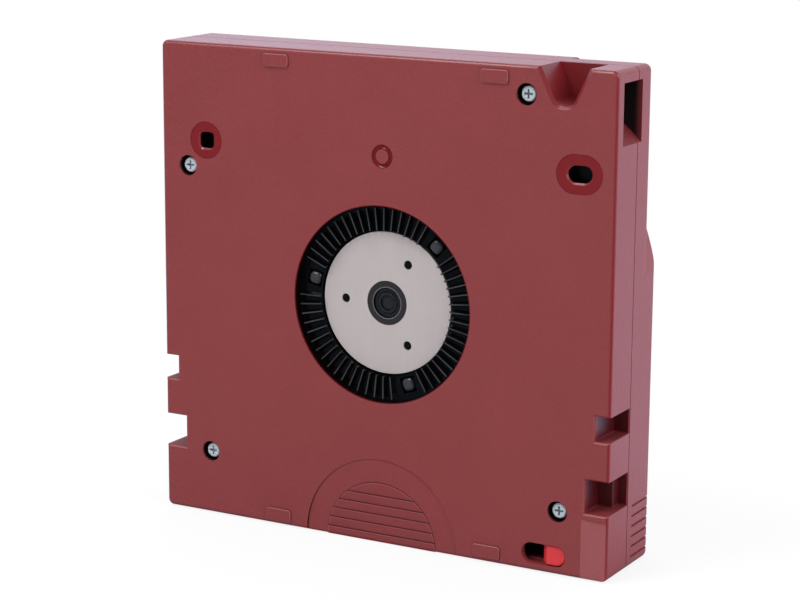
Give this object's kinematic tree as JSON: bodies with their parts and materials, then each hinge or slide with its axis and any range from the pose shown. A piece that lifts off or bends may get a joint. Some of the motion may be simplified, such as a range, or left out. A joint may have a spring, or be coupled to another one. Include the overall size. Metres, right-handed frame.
{
  "type": "data tape cartridge",
  "caption": "Single-reel half-inch data tape cartridge: a square two-part case round one geared reel, with a leader pin behind a sprung side door and a write-protect tab.",
  "frame": {"origin": "centre of the rear edge, on which the cartridge stands with its bottom face to the front", "axes": "+X across the case, from the door's side to the pocket's side; +Y from the bottom face into the case; +Z from the rear edge to the leading edge, which enters the drive first"},
  "size_m": [0.1054, 0.0216, 0.102],
  "materials": {
    "shell_plastic": "moulded, finely textured",
    "screw_steel": "zinc plated",
    "hub_plastic": "glass-filled, glossy",
    "flange_plastic": "natural",
    "plate_steel": "ground, magnetic",
    "tape_film": "coated film on edge",
    "brake_plastic": "natural acetal",
    "spring_steel": "bright drawn wire and strip",
    "foot_plastic": "acetal",
    "pin_steel": "hard, polished",
    "clip_plastic": "acetal",
    "door_plastic": "moulded",
    "tab_plastic": "moulded, satin",
    "board_laminate": "glass-fibre laminate",
    "chip_epoxy": "moulded"
  },
  "bodies": {
    "case": {"bottom_shell": "shell_plastic", "top_shell": "shell_plastic", "case_screws": "screw_steel", "brake_spring": "spring_steel", "door_spring": "spring_steel", "leader_tape": "tape_film", "leader_pin": "pin_steel", "leader_pin_clip": "clip_plastic", "pin_retaining_springs": "spring_steel", "memory_board": "board_laminate", "memory_chip": "chip_epoxy"},
    "reel": {"reel_hub": "hub_plastic", "reel_upper_flange": "flange_plastic", "clutch_plate": "plate_steel", "tape_pack": "tape_film"},
    "brake": {"brake_button": "brake_plastic"},
    "spider": {"release_spider": "foot_plastic"},
    "door": {"sliding_door": "door_plastic"},
    "tab": {"write_protect_tab": "tab_plastic"}
  },
  "joints": [
    {"name": "reel_spin", "type": "hinge", "parent": "case", "child": "reel", "pos_m": [0.0009, -0.00088, 0.05075], "axis": [0, 1, 0], "continuous": true},
    {"name": "brake_lift", "type": "slide", "parent": "case", "child": "brake", "axis": [0, 1, 0], "range_m": [-0.00105, 0.0005], "stiffness_N_per_m": 400, "springref_m": -0.004, "deforming": ["brake_spring"]},
    {"name": "spider_lift", "type": "slide", "parent": "reel", "child": "spider", "axis": [0, 1, 0], "range_m": [-0.00105, 0.0005]},
    {"name": "door_slide", "type": "slide", "parent": "case", "child": "door", "axis": [0, 0, -1], "range_m": [0, 0.0105], "stiffness_N_per_m": 60, "springref_m": -0.004, "deforming": ["door_spring"]},
    {"name": "write_protect_slide", "type": "slide", "parent": "case", "child": "tab", "axis": [-1, 0, 0], "range_m": [0, 0.0038]}
  ],
  "couplings": [
    {"joint": "spider_lift", "follows": "brake_lift", "ratio": 1}
  ]
}
